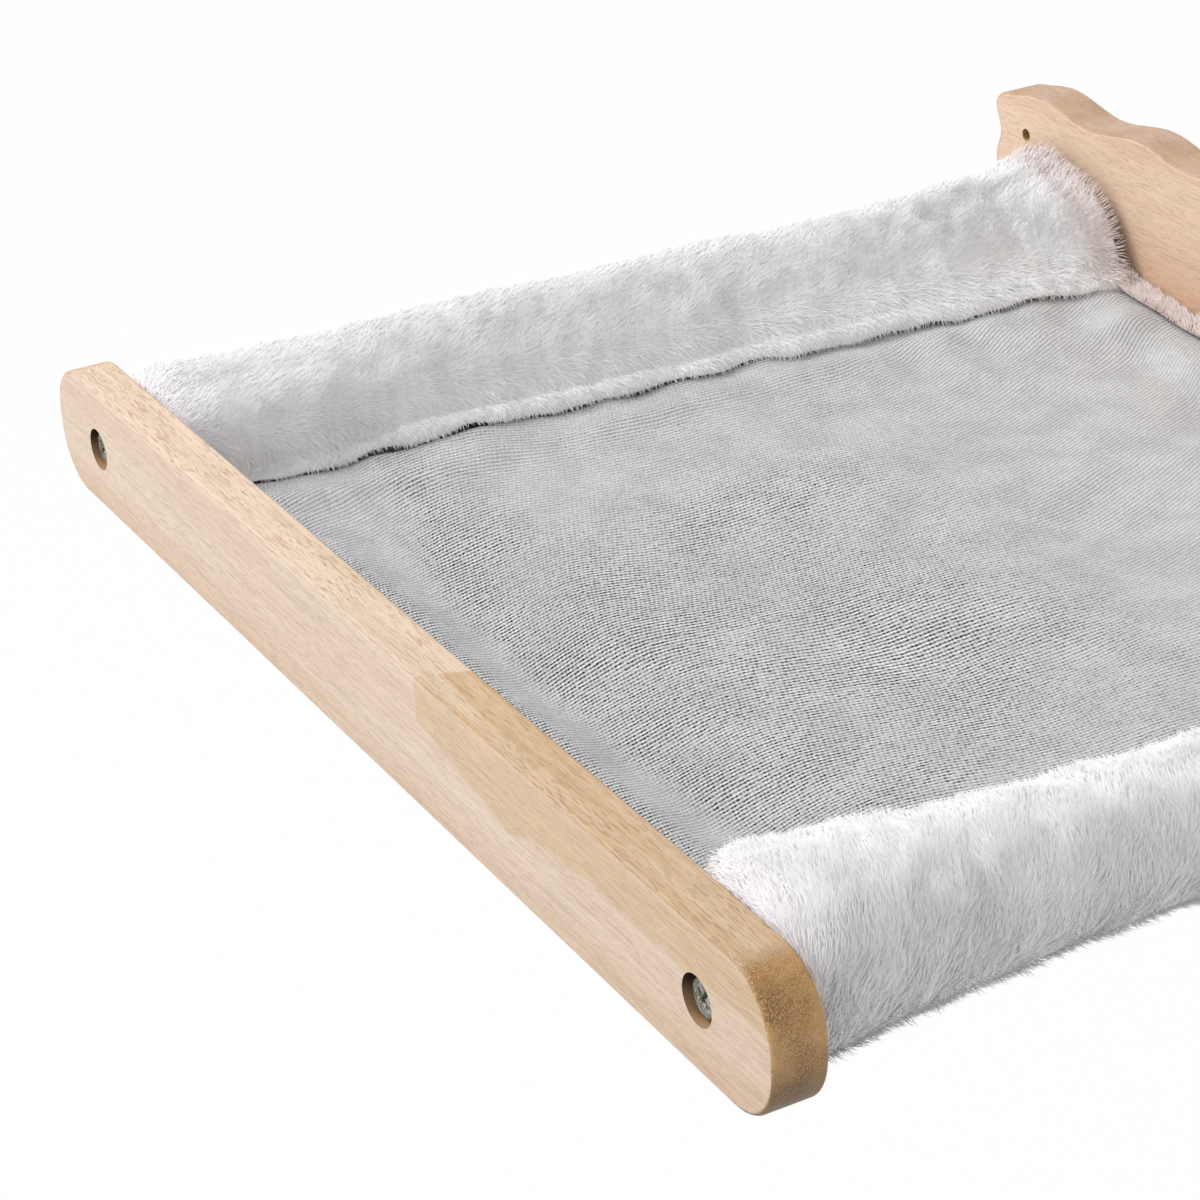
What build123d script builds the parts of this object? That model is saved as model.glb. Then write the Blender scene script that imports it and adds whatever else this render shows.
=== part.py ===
from build123d import *
from math import atan2, cos, pi, sin
import os

# Wall-mounted cat hammock: two rubberwood rails, two dowels and a cloth sling, bolted together.
# X runs along the rails, +Y points into the wall and +Z is up.
# The origin is on the wall, midway between the dowels and at the height of their axes.

# Driving sizes, in millimetres
rail_length = 485
shelf_depth = 422.5
front_rail_height = 45
front_rail_thickness = 16.5
front_rail_end_flat = 5
wall_rail_height = 81.5
wall_rail_thickness = 18
dowel_to_rail_end = 37
dowel_diameter = 25
edge_round = 1.5

# Wavy outline of the wall rail, which is the same above and below and at both ends
wall_rail_end_inset = 0.7
wave_height = 4.3
end_wave_height = 3
wall_rail_corner = 7
crest_place_shares = (0.12, 0.36, 0.614, 0.881)
trough_place_share = 0.54
corner_shares = ((1.35, 0.14), (0.18, 0.52))
end_bulge_count = 4

# Fasteners
bolt_diameter = 6
bolt_length = 30
bolt_head_diameter = 11.7
bolt_head_height = 4
bolt_head_edge = 0.8
bolt_head_sink = 1.9
bolt_tip_chamfer = 0.8
recess_width = 1.5
recess_reach = 6.4
recess_depth = 2.2
recess_taper = 12
recess_turn = 38
counterbore_room = 1.65
bolt_hole_room = 0.3
bolt_tip_room = 4
insert_wall = 2
insert_length = 13
insert_chamfer = 0.6
insert_socket_sides = 6
insert_socket_room = 0.4
insert_socket_depth = 4
fit_clearance = 0.1
dowel_chamfer = 0.6

# Holes for the wall screws, in a rectangle
wall_screw_diameter = 5
wall_screw_to_rail_end = 20.5
wall_screw_to_edge = 15.75

# Cloth
cloth_clearance = 0.3
knit_thickness = 1.5
pile_depth = 7
sling_sag = 12.7
seam_to_dowel = 40.5
flap_reach = 12
flap_edge_round = 3
flap_slope_drop = 3.5
hem_rise = 8
hem_rise_at_seam = 1.5
front_hem_width = 52
wall_hem_width = 40
pile_above_knit = 2
hem_place_shares = (0.17, 0.31, 0.5, 0.7, 0.88, 1)
hem_rise_shares = (0.6, 0.92, 1, 0.8, 0.22, 0)
left_roll_swell = 1.6
right_roll_swell = 4.5
roll_place_shares = (0, 0.08, 0.3, 0.6, 0.9, 1)
left_swell_shares = (1, 0.7, -0.3, -0.5, 0.1, 0.9)
right_swell_shares = (1, 0.85, 0.45, 0.25, 0.3, 0.6)

# Cuts run past the faces they open by this much
overrun = 1

# Places worked out from the sizes above
wall_rail_front = -wall_rail_thickness
front_rail_outer = -shelf_depth
front_rail_inner = front_rail_outer + front_rail_thickness
rail_gap = wall_rail_front - front_rail_inner
dowel_x = rail_length / 2 - dowel_to_rail_end
dowel_radius = dowel_diameter / 2
bolt_radius = bolt_diameter / 2
bolt_hole_radius = bolt_radius + bolt_hole_room
bolt_seat_depth = bolt_head_sink + bolt_head_height
counterbore_radius = bolt_head_diameter / 2 + counterbore_room
insert_radius = bolt_radius + insert_wall
wall_screw_x = rail_length / 2 - wall_screw_to_rail_end
wall_screw_z = wall_rail_height / 2 - wall_screw_to_edge
sleeve_bore_radius = dowel_radius + cloth_clearance
seam_x = dowel_x - seam_to_dowel
knit_end_height = -sleeve_bore_radius - cloth_clearance
roll_radius = sleeve_bore_radius + knit_thickness + pile_depth
pile_bottom_drop = knit_thickness + cloth_clearance + pile_depth


def facing_front(y):
    """A drawing plane across the rails at y, with +X to the right and +Z up."""
    return Plane.XZ.offset(-y)


def bore(x, y, z, inward, radius, depth):
    """A drill's path from the face at y, along +Y where inward is 1 and along -Y where it is -1."""
    start = Plane(origin=(x, y - inward * overrun, z), z_dir=(0, inward, 0))
    return start * Cylinder(radius, depth + overrun, align=(Align.CENTER, Align.CENTER, Align.MIN))


def round_edges_of_faces(solid, radius):
    """Rounds the long edges round the front and back faces of a flat board."""
    faces = solid.faces().sort_by(Axis.Y)
    return fillet(faces[0].edges() + faces[-1].edges(), radius)


def drill_bolt_holes(board, y, inward, thickness):
    """Sinks a stepped hole for each dowel's bolt from the face at y."""
    for x in (-dowel_x, dowel_x):
        board -= bore(x, y, 0, inward, counterbore_radius, bolt_seat_depth)
        board -= bore(x, y, 0, inward, bolt_hole_radius, thickness + overrun)
    return board


# Front rail
def make_front_rail():
    corner = (front_rail_height - front_rail_end_flat) / 2
    outline = RectangleRounded(rail_length, front_rail_height, corner)
    board = extrude(facing_front(front_rail_inner) * outline, front_rail_thickness)
    board = round_edges_of_faces(board, edge_round)
    return drill_bolt_holes(board, front_rail_outer, 1, front_rail_thickness)


# Wall rail
def wavy_outline():
    """Points of one smooth closed line: crests and troughs along the top, bulges and hollows down the end."""
    half_length = rail_length / 2 - wall_rail_end_inset
    half_height = wall_rail_height / 2
    crest_height = half_height + wave_height / 2
    trough_height = half_height - wave_height / 2
    bulge_reach = half_length + end_wave_height / 2
    hollow_reach = half_length - end_wave_height / 2
    crests = [share * half_length for share in crest_place_shares]
    quarter = []
    for inner, outer in zip(crests, crests[1:]):
        quarter.append((inner, crest_height))
        quarter.append((inner + trough_place_share * (outer - inner), trough_height))
    quarter.append((crests[-1], crest_height))
    for back, down in corner_shares:
        quarter.append((half_length - back * wall_rail_corner, half_height - down * wall_rail_corner))
    top_bulge = half_height - wall_rail_corner
    half_pitch = top_bulge / (end_bulge_count - 1)
    for number in range(end_bulge_count // 2):
        bulge = top_bulge - 2 * number * half_pitch
        quarter.append((bulge_reach, bulge))
        quarter.append((hollow_reach, bulge - half_pitch))
    lower_quarter = [(x, -z) for x, z in reversed(quarter[:-1])]
    right = [(0, trough_height)] + quarter + lower_quarter
    left = [(-x, -z) for x, z in right]
    return right + left


def make_wall_rail():
    outline = make_face(Spline(*wavy_outline(), periodic=True))
    board = extrude(facing_front(0) * outline, wall_rail_thickness)
    board = round_edges_of_faces(board, edge_round)
    for x in (-wall_screw_x, wall_screw_x):
        for z in (-wall_screw_z, wall_screw_z):
            board -= bore(x, 0, z, -1, wall_screw_diameter / 2, wall_rail_thickness + overrun)
    return drill_bolt_holes(board, 0, -1, wall_rail_thickness)


# Dowels
def make_dowel(x):
    axis = Plane(origin=(x, front_rail_inner, 0), z_dir=(0, 1, 0))
    bar = axis * Cylinder(dowel_radius, rail_gap, align=(Align.CENTER, Align.CENTER, Align.MIN))
    bar = chamfer(bar.edges(), dowel_chamfer)
    ends = ((front_rail_inner, 1, front_rail_thickness), (wall_rail_front, -1, wall_rail_thickness))
    for y, inward, thickness in ends:
        bolt_reach = bolt_length - (thickness - bolt_seat_depth)
        bar -= bore(x, y, 0, inward, insert_radius + fit_clearance, insert_length)
        bar -= bore(x, y, 0, inward, bolt_hole_radius, bolt_reach + bolt_tip_room)
    return bar


# Bolts and the threaded inserts that take them
def make_bolt():
    """A bolt that points along +Z, with its head resting on the plane Z = 0."""
    upright = (Align.CENTER, Align.CENTER, Align.MIN)
    hanging = (Align.CENTER, Align.CENTER, Align.MAX)
    head = Cylinder(bolt_head_diameter / 2, bolt_head_height, align=hanging)
    head = fillet(head.edges().sort_by(Axis.Z)[0], bolt_head_edge)
    shank = Cylinder(bolt_radius, bolt_length, align=upright)
    shank = chamfer(shank.edges().sort_by(Axis.Z)[-1], bolt_tip_chamfer)
    wings = Rectangle(recess_reach, recess_width) + Rectangle(recess_width, recess_reach)
    top = Plane(origin=(0, 0, -bolt_head_height)).rotated((0, 0, recess_turn))
    return head + shank - extrude(top * wings, recess_depth, taper=recess_taper)


def make_insert():
    """An insert that points along +Z, with its mouth on the plane Z = 0."""
    upright = (Align.CENTER, Align.CENTER, Align.MIN)
    sleeve = Cylinder(insert_radius, insert_length, align=upright)
    sleeve = chamfer(sleeve.edges(), insert_chamfer)
    sleeve -= Cylinder(bolt_radius + fit_clearance, insert_length, align=upright)
    socket = RegularPolygon(bolt_radius + insert_socket_room, insert_socket_sides, major_radius=False)
    return sleeve - extrude(socket, insert_socket_depth)


def place(piece, x, y, inward):
    """Turns a bolt or insert to point along +Y or -Y, with its zero plane at y."""
    return Plane(origin=(x, y, 0), x_dir=(1, 0, 0), z_dir=(0, inward, 0)) * piece


# Sling
def sling_section(y, rise, rise_at_seam, drop, thickness):
    """A slice of one sling layer: it sags between the seams and lies drop below the knit's upper face."""
    end = knit_end_height + rise_at_seam - drop
    middle = knit_end_height - sling_sag + rise - drop
    upper = ThreePointArc((-seam_x, end), (0, middle), (seam_x, end))
    lower = ThreePointArc((-seam_x, end - thickness), (0, middle - thickness), (seam_x, end - thickness))
    sides = [Line(upper @ 0, lower @ 0), Line(upper @ 1, lower @ 1)]
    return facing_front(y) * make_face([upper, lower] + sides)


def hem_stations():
    """Places along Y and how far the hems lift the sling there, from the front rail to the wall rail."""
    shares = list(zip(hem_place_shares, hem_rise_shares))
    front = [(front_rail_inner + place_share * front_hem_width, rise) for place_share, rise in shares]
    wall = [(wall_rail_front - place_share * wall_hem_width, rise) for place_share, rise in shares]
    return front + wall[::-1]


def loft_sling(drop, thickness):
    slices = []
    for y, rise in hem_stations():
        slices.append(sling_section(y, rise * hem_rise, rise * hem_rise_at_seam, drop, thickness))
    return loft(slices, ruled=True)


def make_knit_panel():
    return loft_sling(0, knit_thickness)


def make_plush_panel():
    """The pile under the knit, with the strips of pile that stand up between the knit's edges and the rails."""
    panel = loft_sling(knit_thickness + cloth_clearance, pile_depth)
    edge_rise_share = hem_rise_shares[0]
    rise = edge_rise_share * hem_rise + pile_above_knit
    rise_at_seam = edge_rise_share * hem_rise_at_seam
    strip_thickness = pile_above_knit + pile_bottom_drop
    edges = hem_stations()
    front_edge = edges[0][0] - cloth_clearance
    wall_edge = edges[-1][0] + cloth_clearance
    strips = (
        (front_rail_inner + cloth_clearance, front_edge),
        (wall_edge, wall_rail_front - cloth_clearance),
    )
    for near, far in strips:
        strip = sling_section(far, rise, rise_at_seam, 0, strip_thickness)
        panel += extrude(strip, far - near)
    for y, near in ((edges[0][0], front_edge), (wall_edge, edges[-1][0])):
        bridge = sling_section(y, rise - pile_above_knit, rise_at_seam, knit_thickness + cloth_clearance, pile_depth)
        panel += extrude(bridge, y - near)
    return panel


# Sleeves
def sleeve_wedge_angle():
    """Angle above the horizontal at which the flap leaves the dowel for the seam."""
    return pi / 2 - 2 * atan2(sleeve_bore_radius, seam_to_dowel)


def round_dowel(radius, angle):
    """A point at this radius from the dowel's axis, with the angle measured up from the flap's side."""
    return (radius * cos(angle), radius * sin(angle))


def sleeve_outline(y, swell):
    """The sleeve's outside at y: round the dowel, down the flap, and back along the seam."""
    radius = roll_radius + swell
    slope = sleeve_wedge_angle()
    bottom = round_dowel(radius, -pi / 2)
    outside = round_dowel(radius, pi)
    top = round_dowel(radius, pi / 2)
    crown = round_dowel(radius, (pi / 2 + slope) / 2)
    shoulder = round_dowel(radius, slope)
    flap_under = knit_end_height + hem_rise_at_seam + cloth_clearance
    seam_top = (seam_to_dowel, flap_under + pile_depth + knit_thickness)
    flap_end = seam_to_dowel + flap_reach
    edge_top = (flap_end - flap_edge_round, seam_top[1] - flap_slope_drop)
    edge_middle = (flap_end, (edge_top[1] + flap_under) / 2)
    edge_bottom = (flap_end - flap_edge_round, flap_under)
    seam_under = (seam_to_dowel, flap_under)
    seam_bottom = (seam_to_dowel, knit_end_height - pile_bottom_drop)
    lines = [
        ThreePointArc(bottom, round_dowel(radius, -3 * pi / 4), outside),
        ThreePointArc(outside, round_dowel(radius, 3 * pi / 4), top),
        ThreePointArc(top, crown, shoulder),
        Line(shoulder, seam_top),
        Line(seam_top, edge_top),
        ThreePointArc(edge_top, edge_middle, edge_bottom),
        Line(edge_bottom, seam_under),
        Line(seam_under, seam_bottom),
        Line(seam_bottom, bottom),
    ]
    return facing_front(y) * make_face(lines)


def make_sleeve(swell, swell_shares):
    """A sleeve about the Y axis with its flap towards +X: the pile outside, a wedge-shaped space inside."""
    start = front_rail_inner + cloth_clearance
    length = rail_gap - 2 * cloth_clearance
    slices = []
    for place_share, swell_share in zip(roll_place_shares, swell_shares):
        slices.append(sleeve_outline(start + place_share * length, swell_share * swell))
    body = loft(slices, ruled=True)
    leave = round_dowel(sleeve_bore_radius, sleeve_wedge_angle())
    tip = (seam_to_dowel - knit_thickness, -sleeve_bore_radius)
    wedge = make_face(Polyline((0, 0), leave, tip, (0, -sleeve_bore_radius), close=True))
    hollow = Circle(sleeve_bore_radius) + wedge
    return body - extrude(facing_front(wall_rail_front) * hollow, rail_gap)


def write(name, solid):
    solid.label = name
    export_step(solid, os.path.join("parts", name + ".step"))


os.makedirs("parts", exist_ok=True)

write("front_rail", make_front_rail())
write("wall_rail", make_wall_rail())

bolt = make_bolt()
insert = make_insert()
for side, x in (("left", -dowel_x), ("right", dowel_x)):
    write(side + "_dowel", make_dowel(x))
    write(side + "_front_bolt", place(bolt, x, front_rail_outer + bolt_seat_depth, 1))
    write(side + "_wall_bolt", place(bolt, x, -bolt_seat_depth, -1))
    write(side + "_front_insert", place(insert, x, front_rail_inner, 1))
    write(side + "_wall_insert", place(insert, x, wall_rail_front, -1))

write("knit_panel", make_knit_panel())
write("plush_panel", make_plush_panel())
write("left_sleeve", Location((-dowel_x, 0, 0)) * make_sleeve(left_roll_swell, left_swell_shares))
right_sleeve = Location((-dowel_x, 0, 0)) * make_sleeve(right_roll_swell, right_swell_shares)
write("right_sleeve", mirror(right_sleeve, about=Plane.YZ))
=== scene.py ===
from math import atan2, cos, pi, radians, sin

import bpy
import numpy as np
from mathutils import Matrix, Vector, noise


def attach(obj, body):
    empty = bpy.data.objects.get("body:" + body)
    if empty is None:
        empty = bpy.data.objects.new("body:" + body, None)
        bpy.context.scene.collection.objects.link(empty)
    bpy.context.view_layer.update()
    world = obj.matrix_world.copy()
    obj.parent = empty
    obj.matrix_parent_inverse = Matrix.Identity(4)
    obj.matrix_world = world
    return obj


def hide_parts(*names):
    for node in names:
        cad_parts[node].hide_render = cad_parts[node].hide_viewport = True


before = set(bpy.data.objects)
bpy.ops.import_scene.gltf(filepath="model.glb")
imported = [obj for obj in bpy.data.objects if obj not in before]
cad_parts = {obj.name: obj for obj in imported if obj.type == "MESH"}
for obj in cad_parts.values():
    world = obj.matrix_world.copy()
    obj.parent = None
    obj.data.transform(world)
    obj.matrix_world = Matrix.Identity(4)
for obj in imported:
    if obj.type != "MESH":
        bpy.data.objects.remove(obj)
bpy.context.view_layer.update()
mm = 0.001


# Camera. It stands to the right of the shelf and above it, and looks down along the front rail.
# Its place, turn and lens put the rails, bolts and dowels where the photograph has them.
picture_side = 1200
focal_length_in_pixels = 3425.4
lens = bpy.data.cameras.new("camera")
lens.sensor_width = 36
lens.lens = lens.sensor_width * focal_length_in_pixels / picture_side
camera = bpy.data.objects.new("camera", lens)
camera.location = (842 * mm, -776.8 * mm, 484 * mm)
camera.rotation_euler = [radians(turn) for turn in (63.104, 2.782, 60.979)]
bpy.context.collection.objects.link(camera)
bpy.context.scene.camera = camera


# Floor, sky and lamps. The shelf hangs over a plain white floor, in soft light from above and in front.
# The floor is far below, so that the shelf's shadow falls outside the picture.
class Pattern:
    """A socket in a material's nodes. Patterns are written as sums and products of it."""

    def __init__(self, tree, socket):
        self.tree = tree
        self.socket = socket

    def node(self, kind, settings=None, inputs=None, output=0):
        """Adds a node of any kind: its settings first, then the values or links of its sockets."""
        made = self.tree.nodes.new(kind)
        for name, value in (settings or {}).items():
            setattr(made, name, value)
        for name, value in (inputs or {}).items():
            if isinstance(value, Pattern):
                self.tree.links.new(value.socket, made.inputs[name])
            else:
                made.inputs[name].default_value = value
        return Pattern(self.tree, made.outputs[output])

    def maths(self, operation, *values):
        return self.node("ShaderNodeMath", {"operation": operation}, dict(enumerate(values)))

    def __add__(self, other):
        return self.maths("ADD", self, other)

    def __radd__(self, other):
        return self.maths("ADD", other, self)

    def __sub__(self, other):
        return self.maths("SUBTRACT", self, other)

    def __rsub__(self, other):
        return self.maths("SUBTRACT", other, self)

    def __mul__(self, other):
        return self.maths("MULTIPLY", self, other)

    def __rmul__(self, other):
        return self.maths("MULTIPLY", other, self)

    def __truediv__(self, other):
        return self.maths("DIVIDE", self, other)

    def __rtruediv__(self, other):
        return self.maths("DIVIDE", other, self)

    def __abs__(self):
        return self.maths("ABSOLUTE", self)

    def at_least(self, other):
        return self.maths("MAXIMUM", self, other)

    def at_most(self, other):
        return self.maths("MINIMUM", self, other)

    def wave(self):
        """Swings between 0 and 1 once for each whole number."""
        return self.maths("COSINE", self * (2 * pi)) * 0.5 + 0.5

    def step(self, low, high):
        """Rises smoothly from 0 at low to 1 at high."""
        inputs = {"Value": self, "From Min": low, "From Max": high}
        return self.node("ShaderNodeMapRange", {"interpolation_type": "SMOOTHSTEP"}, inputs)

    def blend(self, low, high):
        """A colour between two others, with this pattern as the share of the second."""
        inputs = {0: self, 6: low, 7: high}
        return self.node("ShaderNodeMix", {"data_type": "RGBA"}, inputs, 2)

    def darkened(self, colour, strongest):
        """The colour, darkened by up to the strongest share where this pattern is 1."""
        return (self * strongest).blend(colour, (0, 0, 0, 1))

    def tinted(self, colour, tint):
        """The colour, multiplied by a tint where this pattern is 1."""
        settings = {"data_type": "RGBA", "blend_type": "MULTIPLY"}
        return self.node("ShaderNodeMix", settings, {0: self, 6: colour, 7: tint}, 2)

    def parts(self):
        """The three numbers of a vector."""
        made = self.node("ShaderNodeSeparateXYZ", inputs={0: self})
        return [Pattern(self.tree, socket) for socket in made.socket.node.outputs]

    def stretched(self, *scales):
        return self.node("ShaderNodeVectorMath", {"operation": "MULTIPLY"}, {0: self, 1: scales})

    def clouds(self, detail=2.0, roughness=0.5, output=0):
        """Soft noise about 0.5, whose patches are about one unit wide."""
        inputs = {"Vector": self, "Scale": 1.0, "Detail": detail, "Roughness": roughness}
        return self.node("ShaderNodeTexNoise", inputs=inputs, output=output)

    def bumped(self, height):
        """A surface normal for a pattern of heights, this many metres high."""
        return self.node("ShaderNodeBump", inputs={"Height": self, "Distance": height}, output=0)


def shade(red, green, blue):
    """A colour as it is written on screen, from 0 to 255, made linear."""
    shares = [value / 255 for value in (red, green, blue)]
    return [v / 12.92 if v <= 0.04045 else ((v + 0.055) / 1.055) ** 2.4 for v in shares] + [1]


def new_material(name):
    """A material with one plain shader, the shader, and the place on the object in millimetres."""
    made = bpy.data.materials.new(name)
    made.use_nodes = True
    shader = made.node_tree.nodes["Principled BSDF"]
    start = Pattern(made.node_tree, None)
    place = start.node("ShaderNodeTexCoord", output="Object").stretched(1000, 1000, 1000)
    return made, shader, place


def feed(shader, **sockets):
    """Links patterns to a shader's sockets, or sets plain values on them."""
    for name, value in sockets.items():
        socket = shader.inputs[name.replace("_", " ")]
        if isinstance(value, Pattern):
            value.tree.links.new(value.socket, socket)
        else:
            socket.default_value = value


def seen_straight(start):
    """1 on the camera's rays and on glossy and transmitted ones, and 0 on all that only carry light."""
    rays = start.node("ShaderNodeLightPath").socket.node.outputs
    names = ("Is Camera Ray", "Is Glossy Ray", "Is Transmission Ray")
    from_camera, glossy, transmitted = [Pattern(start.tree, rays[name]) for name in names]
    return (from_camera + glossy + transmitted).step(0, 1)


floor_drop = 0.75
floor_size = 30
floor_mesh = bpy.data.meshes.new("floor")
half = floor_size / 2
corners = [(-half, -half), (half, -half), (half, half), (-half, half)]
floor_mesh.from_pydata([(x, y, -floor_drop) for x, y in corners], [], [(0, 1, 2, 3)])
floor = bpy.data.objects.new("floor", floor_mesh)
bpy.context.collection.objects.link(floor)

floor_white, floor_shader, floor_place = new_material("floor_white")
speckle = floor_place.stretched(0.02, 0.02, 0.02).clouds()
feed(floor_shader, Base_Color=speckle.blend(shade(214, 214, 214), shade(220, 220, 220)), Roughness=0.9)
seen = seen_straight(floor_place)
glow = floor_place.node("ShaderNodeEmission", inputs={"Color": (1, 1, 1, 1), "Strength": 1.0})
floor_tree = floor_white.node_tree
lit_floor = Pattern(floor_tree, floor_shader.outputs[0])
glow_share = 0.98
shown = floor_place.node("ShaderNodeMixShader", inputs={0: seen * glow_share, 1: lit_floor, 2: glow})
floor_tree.links.new(shown.socket, floor_tree.nodes["Material Output"].inputs["Surface"])
floor_mesh.materials.append(floor_white)

sky = bpy.data.worlds.new("sky")
sky.use_nodes = True
bpy.context.scene.world = sky
white_seen = seen_straight(Pattern(sky.node_tree, None))
sky_light = 0.62
sky_shader = sky.node_tree.nodes["Background"]
sky_shader.inputs["Color"].default_value = (1, 1, 1, 1)
strength = white_seen * (1 - sky_light) + sky_light
sky.node_tree.links.new(strength.socket, sky_shader.inputs["Strength"])

# Each lamp's place and size are in metres, and its power in watts.
lamps = (
    ("key_lamp", (-1.35, -1.25, 1.75), 0.9, 42),
    ("fill_lamp", (0.2, -2.2, 0.9), 2.0, 11),
    ("side_lamp", (2.2, -0.7, 0.7), 1.6, 5.5),
)
aimed_at = Vector((0, -0.2, 0))
for name, place, size, power in lamps:
    lamp = bpy.data.lights.new(name, "AREA")
    lamp.shape = "DISK"
    lamp.size = size
    lamp.energy = power
    stand = bpy.data.objects.new(name, lamp)
    stand.location = place
    stand.rotation_euler = (aimed_at - stand.location).to_track_quat("-Z", "Y").to_euler()
    bpy.context.collection.objects.link(stand)
bpy.context.scene.view_settings.view_transform = "Standard"


# Rails. Both are glued up from staves of pale rubberwood, sanded and left under a thin matt lacquer.
# The faces are pinkish, and the top edges are yellower with brown pores.
# The rounded ends show browner end grain.
dowel_x = 205.5
front_rail_outer = -422.5
wall_rail_front = -18.0
front_rail_inner = -406.0
wood_face = shade(220, 195, 173)
wood_cream = shade(225, 204, 184)
wood_tan = shade(214, 186, 152)
wood_edge = shade(210, 187, 161)
wood_edge_tan = shade(194, 160, 116)
wood_toast = shade(243, 236, 225)
wood_end = shade(204, 164, 110)
wood_end_dark = shade(126, 86, 44)
wood_pore = shade(164, 116, 72)
wood_bored = shade(168, 134, 100)
# Painted shade for the upper walls of the bolt holes.
bored_painted_shade = shade(44, 26, 14)
wood_low_face = shade(206, 176, 146)


def rubberwood(name, tones, low_from, boundary, grain):
    """Rubberwood along X, whose faces turn browner below a height, with its grain this strong.

    boundary(x, y, z, wander) is above 0 on the browner stave.
    """
    face, face_light, face_band, low_face, edge, edge_band = tones
    made, shader, place = new_material(name)
    x, y, z = place.parts()
    facing = place.node("ShaderNodeTexCoord", output="Normal")
    along, across, up = [abs(part) for part in facing.parts()]
    wander = place.stretched(0.02, 0.05, 0.05).clouds()
    bands = place.stretched(0.011, 0.2, 0.2).clouds(4.0, 0.6)
    fibres = place.stretched(0.045, 1.5, 1.5).clouds(3.0, 0.6)
    lines = place.stretched(0.012, 0.9, 0.9).clouds(2.0, 0.5)
    pores = place.stretched(0.16, 2.9, 2.9).clouds(1.0, 0.4).step(0.6, 0.67)
    crowded = place.stretched(0.03, 0.12, 0.12).clouds(2.0).step(0.42, 0.6)
    speckles = place.stretched(2.4, 2.4, 1.6).clouds(2.0, 0.6)
    browner = boundary(x, y, z, wander).step(-0.6, 0.6)
    on_edge = up.step(0.35, 0.75)
    on_end = along.step(0.02, 0.42)
    plain_face = bands.step(0.36, 0.62).blend(face, face_light)
    brown_face = (bands.step(0.3, 0.8) * 0.6).blend(face_band, face)
    face_colour = browner.blend(plain_face, brown_face)
    plain_edge = bands.step(0.34, 0.64).blend(edge, face)
    brown_edge = (bands.step(0.3, 0.6) * (1 - x.step(60, 150) * 0.45)).blend(edge, edge_band)
    edge_colour = browner.blend(plain_edge, brown_edge)
    colour = on_edge.blend(face_colour, edge_colour)
    # Below low_from the faces turn browner. On the wall rail this is painted shade, warm as with light
    # bounced off the wood, on the face beside the sling.
    colour = (z.step(low_from, -20) * 0.5).blend(colour, low_face)
    # Painted shade on the rounded arris between the faces and the top edge.
    colour = (up * across).step(0.2, 0.5).darkened(colour, 0.16)
    colour = fibres.step(0.62, 0.3).darkened(colour, 0.12 * grain)
    colour = lines.step(0.42, 0.3).darkened(colour, 0.1 * grain)
    pore_share = pores * (on_edge * 0.55 + 0.15) * (crowded * 0.8 + 0.2)
    colour = pore_share.blend(colour, wood_pore)
    end_colour = speckles.step(0.66, 0.4).blend(wood_end, wood_end_dark)
    end_colour = place.stretched(0.1, 0.08, 0.09).clouds(3.0).step(0.35, 0.7).blend(end_colour, wood_end)
    # Painted shade: each end grain face is darkened towards its bottom.
    end_colour = z.step(4, -13).darkened(end_colour, 0.64)
    colour = (on_end * 0.9).blend(colour, end_colour)
    toasted = (x + (z - 10) * 0.4).step(60, 250) * (1 - across * 0.5)
    colour = toasted.tinted(colour, wood_toast)
    # Inside the stepped holes: bored wood on the lower wall, and painted shade, near black, on the upper
    # wall.
    from_bolt = abs(abs(x) - dowel_x)
    in_hole = (from_bolt * from_bolt + z * z).step(63, 56) * across.step(0.9, 0.6)
    colour = in_hole.blend(colour, z.step(4, -7).blend(bored_painted_shade, wood_bored))
    roughness = fibres * 0.12 + 0.46
    relief = (fibres * 0.35 - pores * 0.8 + speckles * 0.15).bumped(0.00012)
    feed(shader, Base_Color=colour, Roughness=roughness, Normal=relief, Specular_IOR_Level=0.4)
    return made


def front_stave(x, y, z, wander):
    """Right of a joint at x = 47, above a wavy line that falls along the face."""
    line = 9 - (x - 66).step(-22, 40) * 12 + (x - 90).step(0, 60) * 9 + (wander - 0.5) * 16
    return (z - line).at_most((x - 46 - (y - front_rail_outer) * 0.45) * 0.8)


def wall_stave(x, y, z, wander):
    """A browner stave along the top of the wall rail."""
    return (z - 36 + (wander - 0.5) * 14) * 0.2


front_low_from = -4
front_tones = wood_face, wood_cream, wood_tan, wood_low_face, wood_edge, wood_edge_tan
front_wood = rubberwood("front_rail_wood", front_tones, front_low_from, front_stave, 1.0)
wall_face = shade(223, 193, 167)
wall_light = shade(226, 198, 173)
wall_band = shade(219, 186, 158)
# Painted shade, warm as with bounced light, for the wall rail's face below the height that follows.
wall_low_shade = shade(186, 132, 94)
wall_edge = shade(200, 171, 151)
wall_edge_band = shade(192, 159, 138)
wall_shade_from = 18
wall_tones = wall_face, wall_light, wall_band, wall_low_shade, wall_edge, wall_edge_band
wall_wood = rubberwood("wall_rail_wood", wall_tones, wall_shade_from, wall_stave, 0.5)


def dress(node, material):
    """Puts a finish on a piece of the frame, in place of its own."""
    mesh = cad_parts[node].data
    mesh.materials.clear()
    mesh.materials.append(material)


dress("front_rail", front_wood)
dress("wall_rail", wall_wood)


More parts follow.
